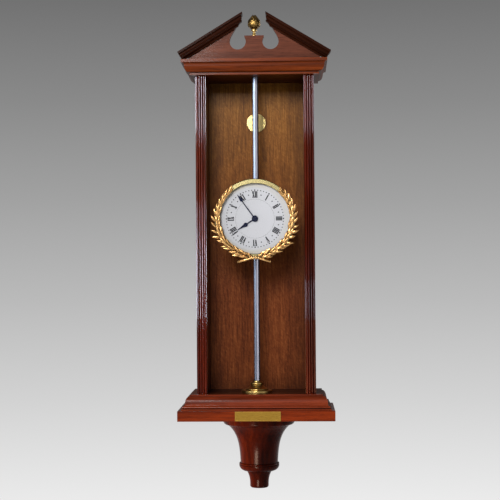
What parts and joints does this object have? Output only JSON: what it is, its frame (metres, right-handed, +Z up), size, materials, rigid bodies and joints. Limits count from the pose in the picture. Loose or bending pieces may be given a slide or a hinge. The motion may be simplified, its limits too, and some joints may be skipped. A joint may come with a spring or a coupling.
{
  "type": "gravity rack clock",
  "caption": "Wall clock whose drum-shaped head sinks down a toothed steel rod in a reeded wooden case with a pediment, finial, moulded base and turned pendant.",
  "frame": {"origin": "on the axis of the wall-screw hole, at the back face that lies on the wall", "axes": "+Y into the wall, -Y to the front, +Z up, +X to the right as seen from the front"},
  "size_m": [0.28, 0.1495, 0.8587],
  "materials": {
    "mahogany": "french polished",
    "mahogany_board": "satin, mottled",
    "gilt_brass": "gilt, cast",
    "polished_brass": "polished",
    "movement_brass": "straight grained",
    "steel": "polished",
    "blued_steel": "blued",
    "white_enamel": "smooth matt",
    "glass": "clear"
  },
  "bodies": {
    "case": {"backboard": "mahogany_board", "side_panel_left": "mahogany", "side_panel_right": "mahogany", "pilaster_left": "mahogany", "pilaster_right": "mahogany", "soffit_board": "mahogany", "top_board": "mahogany", "cornice_front": "mahogany", "cornice_return_left": "mahogany", "cornice_return_right": "mahogany", "pediment_board": "mahogany", "raking_moulding_left": "mahogany", "raking_moulding_right": "mahogany", "base_block": "mahogany", "base_moulding_front": "mahogany", "base_moulding_left": "mahogany", "base_moulding_right": "mahogany", "base_slab": "mahogany", "pendant": "mahogany", "finial": "gilt_brass", "finial_stem": "polished_brass", "slab_screws": "steel", "plaque": "polished_brass", "rack_rod": "steel", "rod_foot": "polished_brass", "rod_knob": "polished_brass", "wall_disc": "polished_brass"},
    "clock_head": {"drum": "polished_brass", "drum_back": "polished_brass", "bezel": "polished_brass", "dial_glass": "glass", "sight_ring": "steel", "dial": "white_enamel", "wreath_left": "gilt_brass", "wreath_right": "gilt_brass", "wreath_tie": "gilt_brass", "front_plate": "movement_brass", "back_plate": "movement_brass", "pillars": "movement_brass", "head_fasteners": "steel", "guide_bushes": "movement_brass", "bridge": "movement_brass", "bridge_posts": "movement_brass"},
    "drive_arbor": {"drive_arbor": "steel"},
    "pressure_roller": {"pressure_roller": "steel"},
    "great_wheel": {"great_wheel": "movement_brass"},
    "click": {"click": "steel"},
    "intermediate_wheel": {"intermediate_wheel": "movement_brass"},
    "idler_wheel": {"idler_wheel": "movement_brass"},
    "centre_wheel": {"centre_wheel": "movement_brass"},
    "third_wheel": {"third_wheel": "movement_brass"},
    "fourth_wheel": {"fourth_wheel": "movement_brass"},
    "escape_wheel": {"escape_wheel": "movement_brass"},
    "pallet_lever": {"pallet_lever": "steel"},
    "balance": {"balance_wheel": "movement_brass", "hairspring": "blued_steel"},
    "minute_hand": {"cannon_pinion": "steel", "minute_hand": "blued_steel"},
    "minute_wheel": {"minute_wheel": "movement_brass"},
    "hour_hand": {"hour_hand": "blued_steel"}
  },
  "joints": [
    {"name": "head_slide", "type": "slide", "parent": "case", "child": "clock_head", "axis": [0, 0, 1], "range_m": [-0.215, 0.18]},
    {"name": "drive_turn", "type": "hinge", "parent": "clock_head", "child": "drive_arbor", "pos_m": [-0.0108, -0.111, -0.2153], "axis": [0, 1, 0], "range_deg": [-2060, 1725]},
    {"name": "roller_turn", "type": "hinge", "parent": "clock_head", "child": "pressure_roller", "pos_m": [0.01135, -0.08, -0.2153], "axis": [0, 1, 0], "range_deg": [-2070, 2470]},
    {"name": "great_turn", "type": "hinge", "parent": "clock_head", "child": "great_wheel", "pos_m": [-0.0108, -0.111, -0.2153], "axis": [0, 1, 0], "continuous": true},
    {"name": "click_lift", "type": "hinge", "parent": "great_wheel", "child": "click", "pos_m": [-0.0108, -0.111, -0.2023], "axis": [0, 1, 0], "range_deg": [-12, 0], "stiffness_Nm_per_rad": 0.0001},
    {"name": "intermediate_turn", "type": "hinge", "parent": "clock_head", "child": "intermediate_wheel", "pos_m": [0.01425, -0.111, -0.21259], "axis": [0, 1, 0], "continuous": true},
    {"name": "idler_turn", "type": "hinge", "parent": "clock_head", "child": "idler_wheel", "pos_m": [0.0056, -0.1025, -0.195], "axis": [0, 1, 0], "continuous": true},
    {"name": "centre_turn", "type": "hinge", "parent": "clock_head", "child": "centre_wheel", "pos_m": [0, -0.111, -0.1853], "axis": [0, 1, 0], "continuous": true},
    {"name": "third_turn", "type": "hinge", "parent": "clock_head", "child": "third_wheel", "pos_m": [-0.00666, -0.111, -0.17103], "axis": [0, 1, 0], "continuous": true},
    {"name": "fourth_turn", "type": "hinge", "parent": "clock_head", "child": "fourth_wheel", "pos_m": [0.00612, -0.111, -0.16637], "axis": [0, 1, 0], "continuous": true},
    {"name": "escape_turn", "type": "hinge", "parent": "clock_head", "child": "escape_wheel", "pos_m": [0.01272, -0.111, -0.15494], "axis": [0, 1, 0], "continuous": true},
    {"name": "lever_rock", "type": "hinge", "parent": "clock_head", "child": "pallet_lever", "pos_m": [0.0053, -0.111, -0.15224], "axis": [0, 1, 0], "range_deg": [-3, 3]},
    {"name": "balance_swing", "type": "hinge", "parent": "clock_head", "child": "balance", "pos_m": [-0.00518, -0.111, -0.14619], "axis": [0, 1, 0], "range_deg": [-120, 120], "stiffness_Nm_per_rad": 0.000018},
    {"name": "minute_turn", "type": "hinge", "parent": "clock_head", "child": "minute_hand", "pos_m": [0, -0.1362, -0.1853], "axis": [0, 1, 0], "continuous": true},
    {"name": "minute_wheel_turn", "type": "hinge", "parent": "clock_head", "child": "minute_wheel", "pos_m": [0.01039, -0.129, -0.1913], "axis": [0, 1, 0], "continuous": true},
    {"name": "hour_turn", "type": "hinge", "parent": "clock_head", "child": "hour_hand", "pos_m": [0, -0.1352, -0.1853], "axis": [0, 1, 0], "continuous": true}
  ],
  "couplings": [
    {"joint": "drive_turn", "follows": "head_slide", "rad_per_m": 166.67},
    {"joint": "roller_turn", "follows": "head_slide", "rad_per_m": -200},
    {"joint": "third_turn", "follows": "fourth_turn", "ratio": -0.13333},
    {"joint": "centre_turn", "follows": "fourth_turn", "ratio": 0.016667},
    {"joint": "idler_turn", "follows": "fourth_turn", "ratio": -0.01},
    {"joint": "intermediate_turn", "follows": "fourth_turn", "ratio": 0.0055556},
    {"joint": "great_turn", "follows": "fourth_turn", "ratio": -0.00092593},
    {"joint": "escape_turn", "follows": "fourth_turn", "ratio": -10},
    {"joint": "minute_wheel_turn", "follows": "minute_turn", "ratio": -0.33333},
    {"joint": "hour_turn", "follows": "minute_turn", "ratio": 0.083333}
  ]
}
